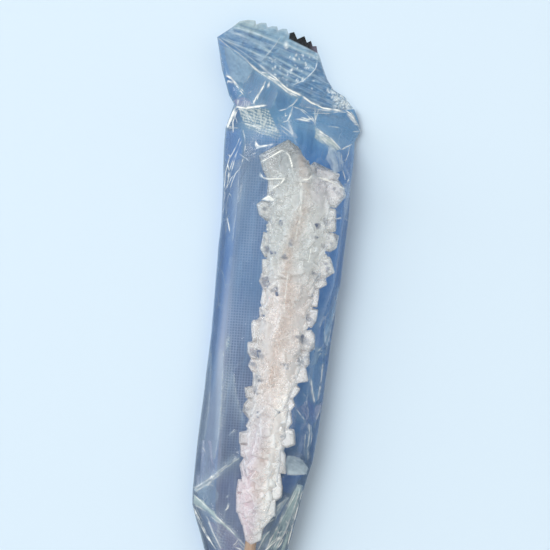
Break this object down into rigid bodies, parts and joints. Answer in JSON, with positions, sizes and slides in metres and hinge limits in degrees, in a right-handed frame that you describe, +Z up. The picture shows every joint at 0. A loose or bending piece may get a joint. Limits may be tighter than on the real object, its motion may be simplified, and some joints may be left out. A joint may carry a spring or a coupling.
{
  "type": "rock candy stick in a clear bag",
  "caption": "Rock candy crystals grown on a thin wooden stick, in a clear flow-wrap film bag with a crimped zigzag end seal, film gathered round the handle.",
  "frame": {"origin": "middle of the bottom of the whole object's box, on the surface it lies on", "axes": "+Y along the stick from the handle towards the crimped seal, +X to the right seen from above, +Z up through the shown side"},
  "size_m": [0.0422, 0.1998, 0.0238],
  "materials": {
    "film": "thin clear glossy film with sharp creases, blue cast over its back layer",
    "sugar": "translucent milky sugar crystals with glossy facets, slightly pink",
    "stick_wood": "plain unvarnished birch dowel"
  },
  "bodies": {
    "root": {"bag": "film", "candy": "sugar", "stick": "stick_wood"}
  },
  "joints": []
}
